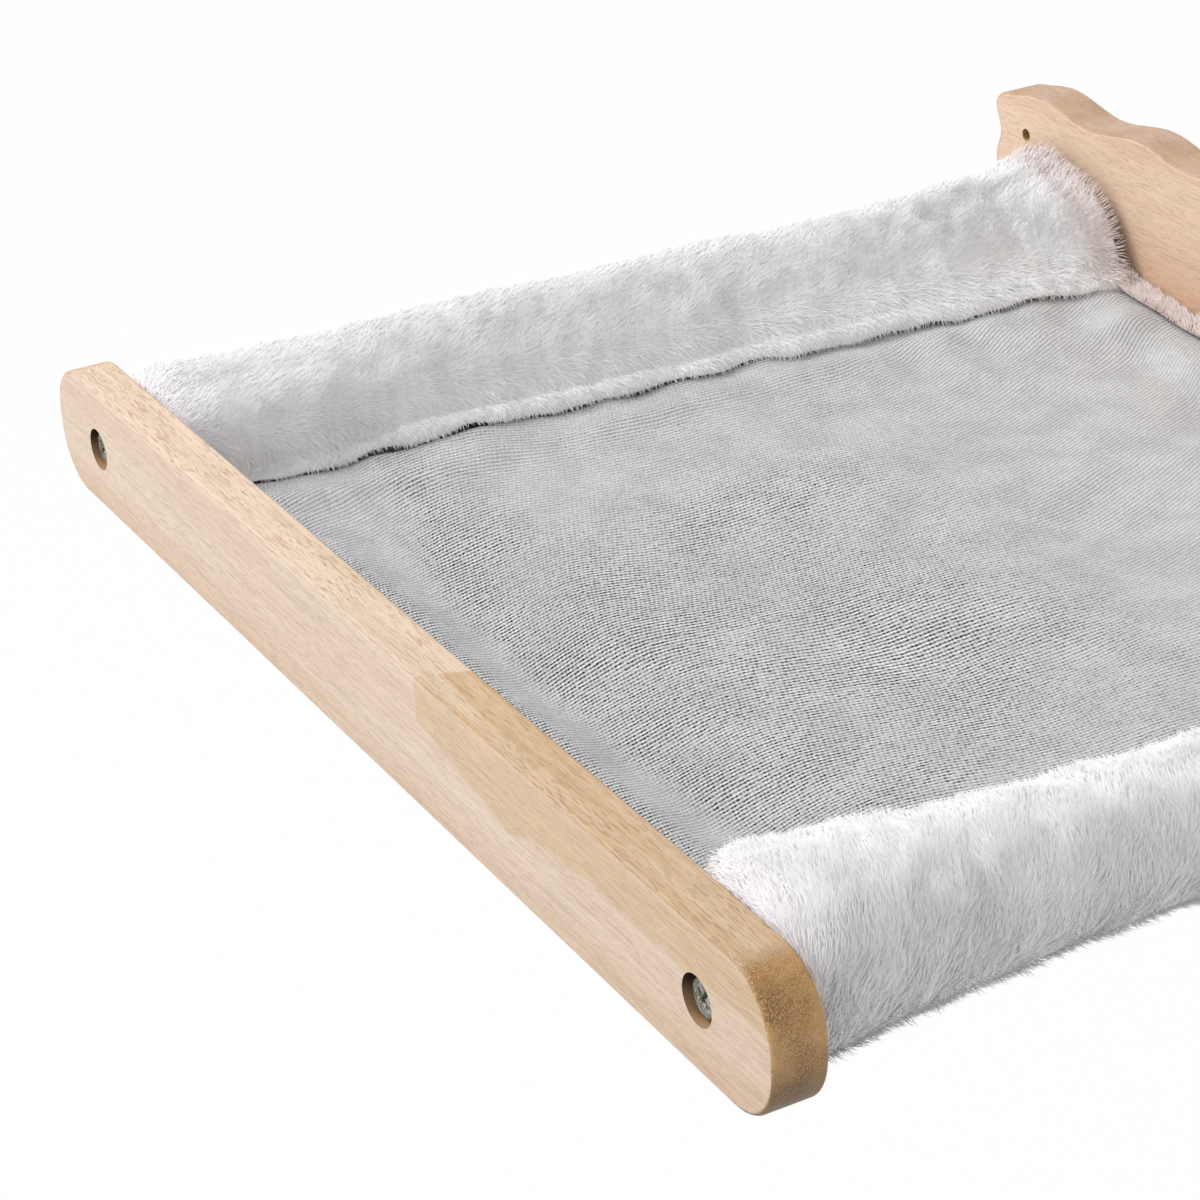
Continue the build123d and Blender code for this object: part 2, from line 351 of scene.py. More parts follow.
# Dowels. Two plain turned bars, bare and sanded, which the cloth sleeves hide from end to end.
# The grain runs along them.
dowel_wood, dowel_shader, dowel_place = new_material("dowel_wood")
dowel_grain = dowel_place.stretched(0.5, 0.02, 0.5).clouds(4.0, 0.6)
dowel_fibres = dowel_place.stretched(2.0, 0.08, 2.0).clouds(2.0)
dowel_colour = dowel_grain.step(0.35, 0.65).blend(shade(232, 206, 170), shade(220, 188, 148))
dowel_colour = dowel_fibres.step(0.6, 0.35).darkened(dowel_colour, 0.12)
feed(dowel_shader, Base_Color=dowel_colour, Roughness=0.6, Normal=dowel_fibres.bumped(0.0001))
for node in ("left_dowel", "right_dowel"):
    dress(node, dowel_wood)


# Bolts. Machine screws with a cross recess, plated with zinc, each sunk in a stepped hole in its rail.
# The plating is greenish grey and a little scuffed, with painted glints in thin pale lines over patches of
# it.
zinc, zinc_shader, zinc_place = new_material("zinc_plating")
scuffs = zinc_place.stretched(1.6, 1.6, 1.6).clouds(4.0, 0.65)
zinc_colour = scuffs.step(0.35, 0.65).blend(shade(106, 108, 96), shade(158, 158, 144))
# Painted glints: thin near-white lines in the base colour, in patches, standing in for reflections.
painted_glints = abs(scuffs - 0.5).step(0.035, 0.01) * zinc_place.stretched(0.5, 0.5, 0.5).clouds().step(0.45, 0.55)
zinc_colour = painted_glints.blend(zinc_colour, shade(240, 242, 236))
feed(zinc_shader, Base_Color=zinc_colour, Metallic=1.0)
feed(zinc_shader, Roughness=scuffs * 0.3 + 0.2, Normal=scuffs.bumped(0.0003))
for node in ("left_front_bolt", "right_front_bolt", "left_wall_bolt", "right_wall_bolt"):
    dress(node, zinc)


# Inserts. Threaded sleeves of zinc alloy in the dowels' ends, which take the bolts.
# They are cast, a little duller and warmer than the bolts.
alloy, alloy_shader, alloy_place = new_material("insert_alloy")
casting = alloy_place.stretched(2.5, 2.5, 2.5).clouds(3.0)
alloy_colour = casting.step(0.3, 0.7).blend(shade(160, 154, 136), shade(200, 194, 176))
feed(alloy_shader, Base_Color=alloy_colour, Metallic=1.0)
feed(alloy_shader, Roughness=casting * 0.2 + 0.35, Normal=casting.bumped(0.0002))
for node in ("left_front_insert", "right_front_insert", "left_wall_insert", "right_wall_insert"):
    dress(node, alloy)


# Knit panel. The upper side of the sling, a fine grey knit sewn between the two sleeves.
# It sags between its seams and stands up in a soft hem along each rail, with the plush turned out under it.
rail_gap = 388.0
seam_x = 165.0
seam_height = -13.1
sag = 12.7
hem_rise = 8.0
hem_rise_at_seam = 1.5
front_hem_width = 52.0
wall_hem_width = 40.0
knit_thickness = 1.5
# Creases at the wall: place along X, distance from the wall, width along X, width along Y, height.
wall_creases = (
    (-120, 30, 9, 13, 3.6),
    (-142, 52, 14, 11, 2.6),
    (-146, 80, 12, 12, 1.6),
    (-100, 40, 10, 24, -1.5),
)


def drift(x, y, patch, seed):
    """Smooth noise between about -1 and 1 over x and y, whose patches are this wide."""
    x, y = np.broadcast_arrays(x, y)
    flat = [noise.noise(Vector((a / patch, b / patch, seed))) for a, b in zip(x.ravel(), y.ravel())]
    return 2 * np.array(flat).reshape(x.shape)


def hem_share(share):
    """The hem's height at a share of its width: a rounded bank with a crest at its middle."""
    bank = 1 - 0.9 * np.clip(1 - 2 * share, 0, 1) ** 2
    fall = np.clip(2 * share - 1, 0, 1) ** 1.3
    return bank * (1 + np.cos(pi * fall)) / 2


def bulge(x, y, at_x, at_y, wide_x, wide_y):
    """A rounded bump of height 1."""
    return np.exp(-(((x - at_x) / wide_x) ** 2) - ((y - at_y) / wide_y) ** 2)


def left_lift(y):
    """How far the left seam is pulled up near the front rail."""
    return np.interp(y, (0, 30, 104, 132, 162, 190), (2.0, 2.7, 3.2, 1.5, 0.5, 0.0))


def sling_height(x, y):
    """Height of the knit in mm, at x and at the distance y behind the front rail."""
    middle = 1 - (x / seam_x) ** 2
    from_wall = rail_gap - y
    slow = drift(x, 0 * y, 70, 3.3)
    front = hem_share(y / (front_hem_width * (1 + 0.06 * slow)))
    wall = hem_share(from_wall / (wall_hem_width * (1 + 0.1 * drift(x, 0 * y, 60, 8.1))))
    rise = (front + wall) * (hem_rise_at_seam + (hem_rise - hem_rise_at_seam) * middle)
    rise = rise * (1 + 0.1 * slow)
    to_seam = seam_x - abs(x)
    puckers = drift(to_seam / 3, y, 17, 5.7) * np.exp(-to_seam / 22) * 0.9
    beside_flap = np.clip((y - 230) / 80, 0, 1) * np.clip(-x / 60, 0, 1)
    folds = drift(x / 2.5, y, 15, 2.2) * np.exp(-(((to_seam - 24) / 16) ** 2))
    puckers = puckers + folds * beside_flap * 1.7
    ripples = drift(x + 0.3 * y, 0.6 * y, 34, 1.9) * 1.0 + drift(x, y, 80, 6.2) * 1.1
    crease = 0
    for at_x, at_wall, wide_x, wide_y, height in wall_creases:
        crease = crease + bulge(x, from_wall, at_x, at_wall, wide_x, wide_y) * height
    gathers = 1 + 0.5 * drift(0 * x, y, 22, 4.4)
    bank = 1.3 * gathers * np.exp(-(((to_seam - 15) / 6.5) ** 2))
    crease = crease + bank + left_lift(y) * np.exp(-(((x + seam_x) / 22) ** 2))
    return seam_height - sag * middle + rise + puckers + ripples * middle.clip(0) ** 0.5 + crease


def cloth_mesh(name, points, across, down):
    """A mesh over rows of points in mm, whose UV map holds the flat cloth's own millimetres."""
    rows, columns = points.shape[:2]
    corner = np.arange(rows * columns).reshape(rows, columns)
    quads = np.stack([corner[:-1, :-1], corner[:-1, 1:], corner[1:, 1:], corner[1:, :-1]], axis=-1)
    mesh = bpy.data.meshes.new(name)
    mesh.from_pydata((points.reshape(-1, 3) * mm).tolist(), [], quads.reshape(-1, 4).tolist())
    mesh.polygons.foreach_set("use_smooth", np.ones(len(mesh.polygons), bool))
    flat = np.stack([across.ravel(), down.ravel()], axis=-1)
    uv = mesh.uv_layers.new(name="cloth")
    loops = np.empty(len(mesh.loops), np.int32)
    mesh.loops.foreach_get("vertex_index", loops)
    uv.uv.foreach_set("vector", flat[loops].astype(np.float32).ravel())
    mesh.update()
    made = bpy.data.objects.new(name, mesh)
    bpy.context.collection.objects.link(made)
    return made


def lengths_along(points, axis):
    """Distance along the surface from its first row or column."""
    steps = np.linalg.norm(np.diff(points, axis=axis), axis=-1)
    start = np.zeros_like(np.take(steps, [0], axis=axis))
    return np.concatenate([start, np.cumsum(steps, axis=axis)], axis=axis)


knit_step = 2.0
knit_edge_front = 8.8
knit_edge_wall = rail_gap - 6.8
knit_columns = int(2 * seam_x / knit_step)
knit_rows = int((knit_edge_wall - knit_edge_front) / knit_step)
knit_x, knit_y = np.meshgrid(
    np.linspace(-seam_x, seam_x, knit_columns + 1),
    np.linspace(knit_edge_front, knit_edge_wall, knit_rows + 1),
)
knit_points = np.stack([knit_x, knit_y + front_rail_inner, sling_height(knit_x, knit_y)], axis=-1)
knit = cloth_mesh("sling_knit", knit_points, knit_x, lengths_along(knit_points, 0))

rows_per_mm = 0.565
rows_closing = -0.00012
rows_bend = 0.0118
rows_bend_ends = 0.025
stitches_per_mm = 0.63
stitch_shift = 0.46
slack_width = 52
grey_knit, knit_shader, knit_place = new_material("grey_knit")
across, down = knit_place.node("ShaderNodeUVMap", {"uv_map": "cloth"}).parts()[:2]
knit_waver = knit_place.stretched(0.022, 0.022, 0.022).clouds(1.0)


def drawn_past(distance):
    """How far the rows are drawn aside at this distance past a line: slowly at first, then evenly."""
    past = distance.at_least(0.0)
    return past * past / (past * rows_bend_ends + 1)


drawn = (drawn_past(down - 236) - drawn_past(88 - down)) * rows_bend - down.step(78, 155) * 11
from_slack = (across - 35) * (across - 35) + (down - 158) * (down - 158)
slack = from_slack.maths("EXPONENT", from_slack * (-1 / slack_width ** 2))
row_jitter = knit_place.stretched(0.6, 0.6, 0.6).clouds() - 0.5
stitch_jitter = knit_place.stretched(0.9, 0.9, 0.9).clouds() - 0.5
row = across * (across * rows_closing + rows_per_mm) + drawn * rows_per_mm + (knit_waver - 0.5) * 2.5
row = row - slack * (across - 35) * 0.11 + row_jitter * 0.5
stitch = down * stitches_per_mm + row * stitch_shift + stitch_jitter * 1.3
gap = row.wave().step(0.25, 0.85)
loop = stitch.wave().step(0.1, 0.9)
mesh_place = knit_place.node("ShaderNodeCombineXYZ", inputs={0: row * 0.9, 1: down * 0.4})
uneven = mesh_place.clouds(2.0, 0.6).step(0.36, 0.6)
open_front = down.step(110, 60) * (1 - across.step(0, 120) * 0.35)
open_right = across.step(-25, 25) * down.step(225, 150)
open_middle = across.step(-125, -60) * down.step(250, 160) * 0.8
open_knit = open_front.at_least(open_right).at_least(open_middle)
open_knit = open_knit * (1 - abs(across + 10).step(85, 150) * 0.55)
worn = knit_place.stretched(0.022, 0.022, 0.022).clouds(4.0, 0.6).step(0.38, 0.6)
worn = open_knit * (worn * 0.4 + 0.6) + worn * 0.12
lint = knit_place.stretched(1.1, 1.1, 1.1).clouds(3.0, 0.7)
mottle = knit_place.stretched(0.055, 0.055, 0.055).clouds(4.0, 0.6)
from_crest = abs(down - 37) * (1 - across.step(-60, -150) * 0.55)
smooth_band = 1 - from_crest.step(15, 3) * 0.8
calm = 1 - down.step(225, 310) * 0.6
# Painted shade in the gaps between the knit's rows, broken by the stitches, weaker where the knit is
# closed, at the hem's crest and towards the wall.
gap_shade = gap * (loop * 0.75 + 0.55) * (uneven * 0.75 + 0.25) * (worn * 0.9 + 0.24) * smooth_band * calm
pale = lint.step(0.3, 0.72) * 0.65 + mottle.step(0.35, 0.65) * 0.35
knit_colour = pale.blend(shade(174, 174, 176), shade(212, 212, 213))
knit_colour = gap_shade.darkened(knit_colour, 0.97)
# Painted highlights along the knit's rows, between the gaps.
ridge_highlight = (1 - gap) * (1 - stitch.wave() * 0.7) * (uneven * 0.7 + 0.2) * (worn * 0.6 + 0.25) * smooth_band
knit_colour = ridge_highlight.blend(knit_colour, shade(240, 240, 241))
knit_relief = ((1 - gap) * 0.6 + (1 - loop * gap) * 0.4 + lint * 0.25).bumped(0.0004)
feed(knit_shader, Base_Color=knit_colour, Normal=knit_relief)
feed(knit_shader, Roughness=0.95, Sheen_Weight=0.15, Specular_IOR_Level=0.15)
knit.data.materials.append(grey_knit)


def thicken(piece, thickness, side):
    """Gives cloth its thickness, below its face where side is -1."""
    wall = piece.modifiers.new("thickness", "SOLIDIFY")
    wall.thickness = thickness * mm
    wall.offset = side


thicken(knit, knit_thickness, -1)
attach(knit, "root")
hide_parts("knit_panel")


# Plush. The lower side of the sling and both sleeves are one pale plush, with a long soft pile.
# The pile is made of bent hairs that lean one way, gather in tufts and lie flat against the rails.
hair_width = 0.3


def hair_shape():
    """One hair of length 1 that rises along Z and bends over along X: a quad and a tip."""
    line = ((0.0, 0.0, 1.0), (0.45, 0.2, 0.85), (1.0, 0.26, 0.0))
    half_width = hair_width * mm / 2
    points, along = [], []
    for number, (x, z, width) in enumerate(line[:-1]):
        points += [(x, -half_width * width, z), (x, half_width * width, z)]
        along += [number / 2] * 2
    points.append((line[-1][0], 0, line[-1][1]))
    along.append(1.0)
    mesh = bpy.data.meshes.new("hair")
    mesh.from_pydata(points, [], [(0, 2, 3, 1), (2, 4, 3)])
    mesh.attributes.new("along", "FLOAT", "POINT").data.foreach_set("value", along)
    return bpy.data.objects.new("hair", mesh)


def pile_nodes():
    """Geometry nodes that plant hairs on a skin, along its own lay and as long as its own pile."""
    tree = bpy.data.node_groups.new("pile", "GeometryNodeTree")
    face = tree.interface
    face.new_socket("Skin", in_out="INPUT", socket_type="NodeSocketGeometry")
    for name, kind in (
        ("Hair", "NodeSocketObject"),
        ("Hairs per Area", "NodeSocketFloat"),
        ("Tuft Size", "NodeSocketFloat"),
        ("Tuft Lean", "NodeSocketFloat"),
        ("Hair Lean", "NodeSocketFloat"),
        ("Seed", "NodeSocketInt"),
        ("Finish", "NodeSocketMaterial"),
    ):
        face.new_socket(name, in_out="INPUT", socket_type=kind)
    face.new_socket("Pile", in_out="OUTPUT", socket_type="NodeSocketGeometry")
    outside = tree.nodes.new("NodeGroupInput").outputs

    def add(kind, inputs, settings=None, output=0):
        made = tree.nodes.new(kind)
        for name, value in (settings or {}).items():
            setattr(made, name, value)
        for name, value in inputs.items():
            if isinstance(value, bpy.types.NodeSocket):
                tree.links.new(value, made.inputs[name])
            else:
                made.inputs[name].default_value = value
        return made.outputs[output]

    def vectors(operation, *values):
        return add("ShaderNodeVectorMath", dict(enumerate(values)), {"operation": operation})

    def scaled(vector, scale):
        return add("ShaderNodeVectorMath", {0: vector, "Scale": scale}, {"operation": "SCALE"})

    def numbers(operation, *values):
        return add("ShaderNodeMath", dict(enumerate(values)), {"operation": operation})

    def stored(name, kind):
        return add("GeometryNodeInputNamedAttribute", {"Name": name}, {"data_type": kind})

    planted = add(
        "GeometryNodeDistributePointsOnFaces",
        {"Mesh": outside["Skin"], "Density": outside["Hairs per Area"], "Seed": outside["Seed"]},
    )
    normal = planted.node.outputs["Normal"]
    place = tree.nodes.new("GeometryNodeInputPosition").outputs[0]
    size = numbers("DIVIDE", 1.0, outside["Tuft Size"])
    tuft = add("ShaderNodeTexNoise", {"Vector": place, "Scale": size, "Detail": 1.0}, output=1)
    lean = scaled(vectors("SUBTRACT", tuft, (0.5, 0.5, 0.5)), outside["Tuft Lean"])
    low = numbers("MULTIPLY", outside["Hair Lean"], -1.0)
    spread = {"data_type": "FLOAT_VECTOR"}
    stray = add("FunctionNodeRandomValue", {0: (-1, -1, -1), 1: (1, 1, 1), "Seed": outside["Seed"]}, spread)
    stray = scaled(stray, outside["Hair Lean"])
    toward = vectors("ADD", vectors("ADD", stored("lay", "FLOAT_VECTOR"), lean), stray)
    raised = add("FunctionNodeRandomValue", {2: 0.0, 3: 1.0, "Seed": 5}, {"data_type": "FLOAT"}, 1)
    raised = numbers("MULTIPLY", numbers("POWER", raised, 6.0), 0.45)
    upward = vectors("ADD", normal, vectors("ADD", scaled(lean, 0.25), scaled(stray, 0.3)))
    upward = vectors("SUBTRACT", upward, scaled(toward, raised))
    turn = add(
        "FunctionNodeAxesToRotation",
        {"Primary Axis": upward, "Secondary Axis": toward},
        {"primary_axis": "Z", "secondary_axis": "X"},
    )
    uneven = add("FunctionNodeRandomValue", {2: 0.7, 3: 1.1, "Seed": 7}, {"data_type": "FLOAT"}, 1)
    lump = add("ShaderNodeTexNoise", {"Vector": place, "Scale": numbers("MULTIPLY", size, 0.5)})
    lump = numbers("ADD", 0.7, numbers("MULTIPLY", lump, 0.6))
    length = numbers("MULTIPLY", stored("length", "FLOAT"), numbers("MULTIPLY", uneven, lump))
    stretch = add("ShaderNodeCombineXYZ", {"X": length, "Y": 1.0, "Z": length})

    def keep(geometry, name, kind, value):
        settings = {"data_type": kind, "domain": "POINT"}
        inputs = {"Geometry": geometry, "Name": name, "Value": value}
        return add("GeometryNodeStoreNamedAttribute", inputs, settings)

    tone_size = numbers("MULTIPLY", size, 1.4)
    tone = add("ShaderNodeTexNoise", {"Vector": place, "Scale": tone_size, "Detail": 2.0})
    points = keep(planted, "tone", "FLOAT", tone)
    points = keep(points, "skin_normal", "FLOAT_VECTOR", vectors("ADD", normal, scaled(lean, 0.5)))
    hair = add("GeometryNodeObjectInfo", {"Object": outside["Hair"]}).node.outputs["Geometry"]
    planted = add(
        "GeometryNodeInstanceOnPoints",
        {"Points": points, "Instance": hair, "Rotation": turn, "Scale": stretch},
    )
    whole = add("GeometryNodeRealizeInstances", {"Geometry": planted})
    finished = add("GeometryNodeSetMaterial", {"Geometry": whole, "Material": outside["Finish"]})
    leaving = tree.nodes.new("NodeGroupOutput")
    tree.links.new(finished, leaving.inputs["Pile"])
    return tree


hair = hair_shape()
pile_tree = pile_nodes()
front_limit = front_rail_inner + 0.3
skin_normal_share = 0.92
corners_in_hair = 7


def grow_pile(name, skin, hairs, seed, clear=1.5, fluff=None, **looks):
    """Plants this many hairs on a skin, lays them out on a map of their own, and makes one piece of them.

    The hairs keep half of clear from the wall rail. Fluff turns the light on them upward by a share
    that depends on their place. Looks change how they lean and gather.
    """
    area = sum(face.area for face in skin.data.polygons)
    inputs = {
        "Hair": hair,
        "Hairs per Area": hairs / area,
        "Tuft Size": looks.get("tuft_size", 9.0) * mm,
        "Tuft Lean": looks.get("tuft_lean", 1.3),
        "Hair Lean": looks.get("hair_lean", 0.25),
        "Seed": seed,
        "Finish": white_plush,
    }
    grower = skin.modifiers.new("pile", "NODES")
    grower.node_group = pile_tree
    for item in pile_tree.interface.items_tree:
        if item.in_out == "INPUT" and item.name in inputs:
            grower[item.identifier] = inputs[item.name]
    evaluated = skin.evaluated_get(bpy.context.evaluated_depsgraph_get())
    mesh = bpy.data.meshes.new_from_object(evaluated)
    skin.modifiers.remove(grower)
    mesh.name = name

    count = len(mesh.vertices)
    points = np.empty(count * 3, np.float32)
    mesh.vertices.foreach_get("co", points)
    points = points.reshape(-1, 3)
    points[:, 1] = points[:, 1].clip(front_limit * mm, (wall_rail_front - 0.5 * clear) * mm)
    mesh.vertices.foreach_set("co", points.ravel())

    outward = np.empty(count * 3, np.float32)
    mesh.attributes["skin_normal"].data.foreach_get("vector", outward)
    mesh.attributes.remove(mesh.attributes["skin_normal"])
    mesh.update()
    own = np.empty(count * 3, np.float32)
    mesh.vertices.foreach_get("normal", own)
    mixed = skin_normal_share * outward.reshape(-1, 3) + (1 - skin_normal_share) * own.reshape(-1, 3)
    if fluff:
        mixed[:, 2] += fluff(points / mm)
    mixed /= np.linalg.norm(mixed, axis=1, keepdims=True)
    mesh.polygons.foreach_set("use_smooth", np.ones(len(mesh.polygons), bool))
    mesh.normals_split_custom_set_from_vertices(mixed.tolist())

    hair_count = len(mesh.loops) // corners_in_hair
    side = int(np.ceil(np.sqrt(hair_count)))
    number = np.arange(hair_count)
    cell = np.stack([number % side, number // side], axis=-1)[:, None, :]
    within = np.array([[0, 0], [0, 1], [1, 1], [1, 0], [0, 1], [0.5, 2], [1, 1]])
    within = 0.1 + 0.8 * within / (1, 2)
    layout = (cell + within[None]) / side
    uv = mesh.uv_layers.new(name="OFBake")
    uv.uv.foreach_set("vector", layout.astype(np.float32).ravel())

    made = bpy.data.objects.new(name, mesh)
    bpy.context.collection.objects.link(made)
    return made


def plush(name, light, root_shade):
    """Plush pile: painted shade at the hairs' roots between them, paler at their tips, and a pinkish
    painted light bounced from the wood beside the rails, with more painted shade at the roots by the wall
    rail.
    """
    made, shader, place = new_material(name)
    along = place.node("ShaderNodeAttribute", {"attribute_name": "along"}, output="Fac")
    tone = place.node("ShaderNodeAttribute", {"attribute_name": "tone"}, output="Fac")
    patches = place.stretched(0.04, 0.04, 0.04).clouds(3.0)
    # Painted shade towards the hairs' roots, with tone that differs at random between tufts.
    root_shade_and_tone = along.step(-0.1, 0.7) * 0.75 + tone.step(0.3, 0.7) * 0.25
    colour = root_shade_and_tone.blend(root_shade, light)
    colour = patches.step(0.65, 0.35).darkened(colour, 0.07)
    x, y, z = place.parts()
    at_front = (y - front_rail_inner).step(16, 0) * 0.6
    at_wall = (y - wall_rail_front).step(-26, -8)
    # Painted light bounced from the wall rail, pinkish, with painted shade towards the roots, on the pile
    # beside that rail.
    wall_bounce_and_shade = along.step(0, 0.8).blend(shade(224, 202, 196), shade(246, 236, 235))
    # Painted light bounced from the front rail: a pinkish tint on the pile beside it.
    colour = at_front.tinted(colour, shade(250, 240, 246))
    colour = at_wall.tinted(colour, wall_bounce_and_shade)
    feed(shader, Base_Color=colour, Roughness=0.9, Specular_IOR_Level=0.1)
    feed(shader, Sheen_Weight=0.2, Sheen_Roughness=0.5)
    return made


white_plush = plush("plush_pile", shade(246, 246, 246), shade(229, 229, 231))
backing, backing_shader, backing_place = new_material("plush_backing")
cloth_place = backing_place.node("ShaderNodeUVMap", {"uv_map": "cloth"})
swirl = backing_place.stretched(0.05, 0.05, 0.05).clouds(1.0, output=1)
streaks = (cloth_place.stretched(0.22, 0.5, 0) + swirl * 3).clouds(3.0, 0.55)
backing_colour = streaks.step(0.3, 0.7).blend(shade(223, 223, 225), shade(241, 241, 241))
feed(backing_shader, Base_Color=backing_colour, Normal=streaks.bumped(0.0012))
feed(backing_shader, Roughness=0.95, Specular_IOR_Level=0.1)


def skin_mesh(name, points, lay, length):
    """A skin for pile: rows of points in mm, with the way the pile leans and its length at each."""
    made = cloth_mesh(name, points, lengths_along(points, 1), lengths_along(points, 0))
    mesh = made.data
    lay_data = mesh.attributes.new("lay", "FLOAT_VECTOR", "POINT").data
    lay_data.foreach_set("vector", np.broadcast_to(lay, points.shape).astype(np.float32).ravel())
    lengths = np.broadcast_to(length, points.shape[:2]) * mm
    length_data = mesh.attributes.new("length", "FLOAT", "POINT").data
    length_data.foreach_set("value", lengths.astype(np.float32).ravel())
    return made


def finish_skin(skin):
    """Takes the lay and length off a skin once its pile is grown."""
    for name in ("lay", "length"):
        skin.data.attributes.remove(skin.data.attributes[name])
    skin.data.materials.append(backing)


# Sleeves. The sling's ends go under the dowels, round them and back to the sling, with the pile outside.
# Each is sewn down 40 mm in from its dowel, and a short flap of it lies on the knit beyond the seam.
seam_to_dowel = dowel_x - seam_x
bore_radius = 12.8
lift_below = 4.6
lift_above = 5.0
wedge_angle = pi / 2 - 2 * atan2(bore_radius, seam_to_dowel)
flap_height = -7.8
front_round = 4.0
wall_round = 9.0
wall_depth = 3.0
parting_at = 14.0
parting_width = 3.5
parting_depth = 1.8
plush_drop = 2.6
tuck = 2.0
bend = 6.0
curl = 1.75
fullest = 14.0
smoothings = 10


def end_inset(y, above):
    """How far a sleeve's skin turns in at its two ends, so that the ends close against the rails."""
    from_wall = rail_gap - 1.5 - y
    turns_in = (
        (y, front_round, front_round),
        (y, 3 * front_round, above),
        (from_wall, wall_round, wall_depth + 0.2 * above),
    )
    inset = 0
    for distance, reach, depth in turns_in:
        near = 1 - np.clip(distance / reach, 0, 1)
        inset = inset + depth * (1 - (1 - near ** 2) ** 0.5)
    parting = np.exp(-(((rail_gap - y - parting_at) / parting_width) ** 2))
    return inset + parting_depth * parting


def sleeve_skin(side, swell, puff, reach, clear, seed):
    """The skin under a sleeve's pile. side is -1 for the left one, whose flap points to the right."""
    rows = np.concatenate([
        np.linspace(0.3, 6, 9)[:-1],
        np.linspace(6, rail_gap - 10, 220)[:-1],
        np.linspace(rail_gap - 10, rail_gap - clear, 10),
    ])
    reaches = np.interp(rows, *reach) + 1.2 * drift(rows, 0 * rows, 22, seed + 0.5)
    lifts = left_lift(rows) if side < 0 else 0 * rows
    gaps = 0.6 + 0.5 * drift(rows, 0 * rows, 13, seed + 3.5)
    if side < 0:
        gaps = gaps + np.interp(rows, (190, 260, 360, 376), (0, 0.8, 0.8, 0))
    rim_drops = flap_height + lifts - gaps - sling_height(side * (seam_x - reaches), rows)
    under_edges = sling_height(side * (seam_x - tuck) + 0 * rows, rows) - plush_drop - 0.5
    sections, lays = [], []
    for y, reached, lift, rim_drop, under_edge in zip(rows, reaches, lifts, rim_drops, under_edges):
        above = np.interp(y, *swell)
        inset = end_inset(y, above)
        flap = seam_to_dowel + reached
        fullness = np.interp(y, *puff)

        def radius_at(turn):
            share = (1 + sin(turn)) / 2
            shoulder = 0.4 * fullness * np.exp(-((turn - wedge_angle + 2 * pi) / 0.6) ** 2)
            depth = lift_below + (lift_above - lift_below) * share
            return bore_radius + depth + above * (0.75 + 0.25 * share) + shoulder - inset

        lowest = radius_at(-pi / 2)
        under = [
            ((seam_to_dowel + tuck) * s, under_edge * s ** 2 - lowest * (1 - s ** 2))
            for s in np.linspace(1, 0, 22)
        ]
        turns = np.linspace(-pi / 2, wedge_angle - 2 * pi, 62)[1:]
        round_dowel = [(radius_at(t) * cos(t), radius_at(t) * sin(t)) for t in turns]
        shoulder = np.array(round_dowel[-1])
        foot = seam_to_dowel
        if side < 0:
            foot = foot + (fullness / fullest) ** 2 * (reached - bend)
        foot = min(foot, flap - bend - 1)
        seam = np.array((foot, flap_height + lift - 0.5 * inset))
        outward = np.array((shoulder[1] - seam[1], seam[0] - shoulder[0]))
        outward = outward / np.linalg.norm(outward) * (0.8 * fullness - 0.8 * inset)
        slope = [
            tuple(shoulder + s * (seam - shoulder) + outward * sin(pi * s) ** 0.8)
            for s in np.linspace(0, 1, 26)[1:-1]
        ]
        lip = [(foot + s * (flap - bend - foot), seam[1]) for s in np.linspace(0, 1, 5)]
        lip += [
            (flap - bend + bend * sin(t), seam[1] - rim_drop * (1 - cos(t)) / (1 - cos(curl)))
            for t in np.linspace(0, curl, 9)[1:]
        ]
        line = np.array(under + round_dowel + slope + lip)
        first = len(under) + len(round_dowel)
        for repeat in range(smoothings):
            line[first:-7] = (line[first - 1:-8] + 2 * line[first:-7] + line[first + 1:-6]) / 4
        sections.append(line)
        lays.append(np.gradient(line, axis=0))
    line = np.array(sections)
    y = np.broadcast_to(rows[:, None], line.shape[:2])
    lumps = drift(lengths_along(line, 1), y, 26, seed) * 0.8
    lumps = lumps + drift(lengths_along(line, 1), y, 8, seed + 7) * 0.35
    away = np.array(lays)
    away /= np.linalg.norm(away, axis=-1, keepdims=True)
    outward = np.stack([-away[..., 1], away[..., 0]], axis=-1)
    line = line + outward * lumps[..., None]
    points = np.stack([side * (dowel_x - line[..., 0]), y + front_rail_inner, line[..., 1]], axis=-1)
    lay = np.stack([-side * away[..., 0], np.zeros_like(y), away[..., 1]], axis=-1)
    to_edge = lengths_along(line[:, ::-1], 1)[:, ::-1]
    if side > 0:
        points, lay, to_edge = points[:, ::-1], lay[:, ::-1], to_edge[:, ::-1]
    return points, lay, to_edge


def left_fluff(points):
    """Where the left sleeve's pile catches more light: on its flap and at the front rail."""
    x, y, z = points.T
    on_flap = np.clip((x + 184) / 14, 0, 1) * np.clip((7 - z) / 10, 0, 1)
    from_front = y - front_rail_inner
    from_wall = wall_rail_front - y
    low = np.clip((10 - z) / 8, 0, 1)
    at_end = np.clip((25 - from_front) / 15, 0, 1)
    at_front = np.maximum(at_end, 1.4 * np.clip((120 - from_front) / 50, 0, 1) * low)
    on_body = np.clip((from_wall - 14) / 12, 0, 1) * np.clip((110 - from_wall) / 60, 0, 1)
    return 0.65 * np.maximum(on_flap, 0.8 * at_front) - 0.6 * on_body * (1 - on_flap)


def right_fluff(points):
    """Where the right sleeve's pile catches more light, at the front rail, and less, underneath."""
    x, y, z = points.T
    at_front = np.clip((30 - y + front_rail_inner) / 20, 0, 1)
    return 0.8 * at_front - 0.3 * np.clip((-z - 3) / 12, 0, 1) * (1 - at_front)


